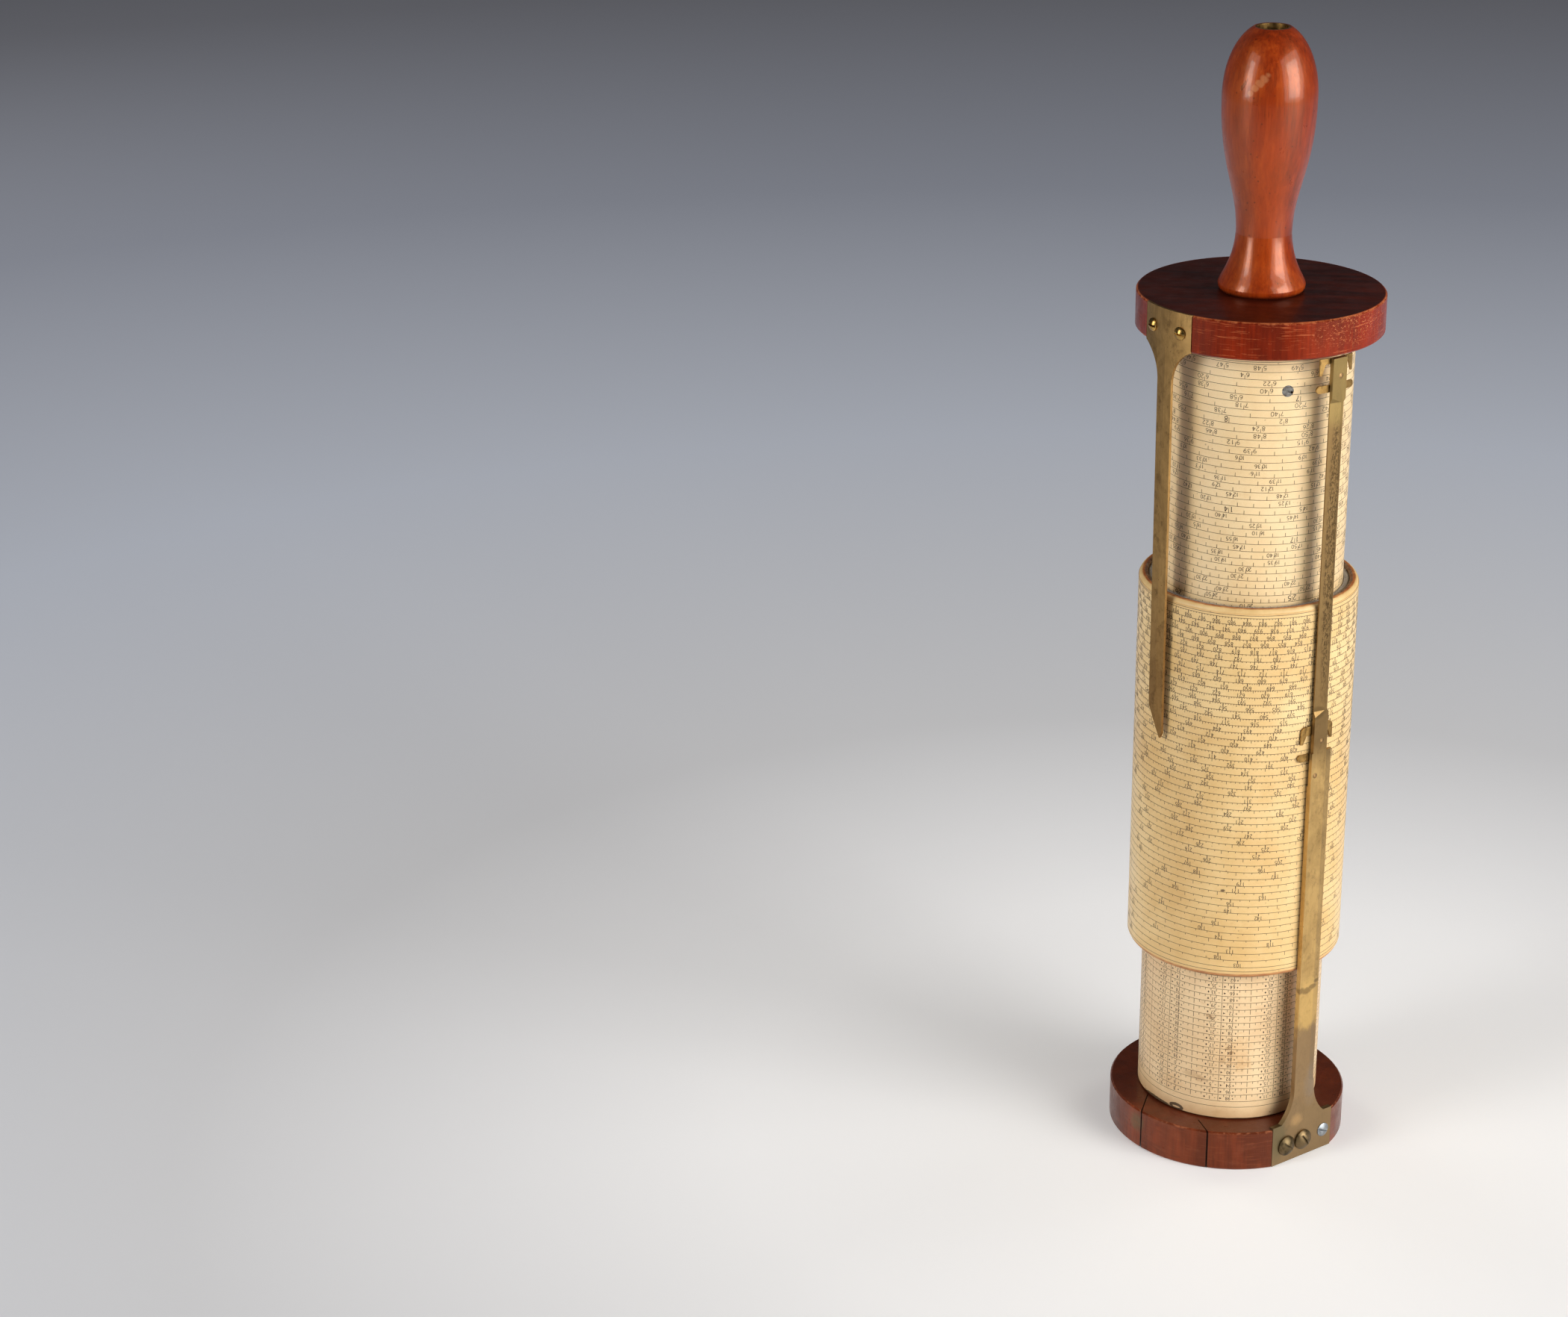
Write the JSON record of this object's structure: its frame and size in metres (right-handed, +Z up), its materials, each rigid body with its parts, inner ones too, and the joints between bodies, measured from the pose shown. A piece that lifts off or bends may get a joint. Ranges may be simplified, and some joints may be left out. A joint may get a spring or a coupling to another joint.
{
  "type": "cylindrical slide rule",
  "caption": "Cylindrical slide rule: a scale drum slides and turns on an inner scale cylinder, which telescopes on a tube standing on a base disc, read with two brass indexes.",
  "frame": {"origin": "centre of the base disc's underside", "axes": "+Z up along the instrument's axis towards the handle; -Y is the front, and azimuths count from it towards +X"},
  "size_m": [0.0906, 0.0906, 0.4302],
  "materials": {
    "handle_wood": "gloss",
    "disc_wood": "gloss",
    "base_wood": "satin",
    "plug_wood": "matte",
    "pasteboard": "matte",
    "drum_wall": "satin",
    "drum_paper": "varnished",
    "cylinder_paper": "varnished",
    "felt": "matte",
    "cloth": "matte",
    "tube_brass": "satin",
    "fixed_index_brass": "aged",
    "long_index_brass": "aged",
    "pointer_brass": "aged",
    "screw_brass": "satin",
    "zinc": "dull",
    "steel": "satin"
  },
  "bodies": {
    "index_carrier": {"base_disc": "base_wood", "base_plug": "plug_wood", "sliding_tube": "pasteboard", "sliding_tube_pins": "plug_wood", "sliding_tube_lining": "cloth", "long_index": "long_index_brass", "upper_pointer": "pointer_brass", "lower_pointer": "pointer_brass", "pointer_rivets": "screw_brass", "foot_screws_large": "screw_brass", "foot_screw_small": "zinc"},
    "telescope_lining": {"mouth_lining": "cloth"},
    "handle_body": {"inner_cylinder": "pasteboard", "sine_scale_sheet": "cylinder_paper", "log_scale_sheet": "cylinder_paper", "cylinder_plug": "plug_wood", "cylinder_screws": "steel", "top_disc": "disc_wood", "handle": "handle_wood", "handle_ferrule": "tube_brass", "handle_screw": "steel", "handle_washer": "steel", "fixed_index": "fixed_index_brass", "fixed_index_screws": "screw_brass"},
    "drum_linings": {"drum_felt_upper": "felt", "drum_felt_lower": "felt"},
    "drum": {"drum_shell": "drum_wall", "main_scale_sheet": "drum_paper"}
  },
  "joints": [
    {"name": "telescope_slide", "type": "slide", "parent": "index_carrier", "child": "telescope_lining", "axis": [0, 0, 1], "range_m": [0, 0.152]},
    {"name": "telescope_turn", "type": "hinge", "parent": "telescope_lining", "child": "handle_body", "pos_m": [0, 0, 0.0286], "axis": [0, 0, 1], "range_deg": [-250, 75]},
    {"name": "drum_slide", "type": "slide", "parent": "handle_body", "child": "drum_linings", "axis": [0, 0, 1], "range_m": [-0.06, 0.093]},
    {"name": "drum_turn", "type": "hinge", "parent": "drum_linings", "child": "drum", "pos_m": [0, 0, 0.1533], "axis": [0, 0, 1], "continuous": true}
  ]
}
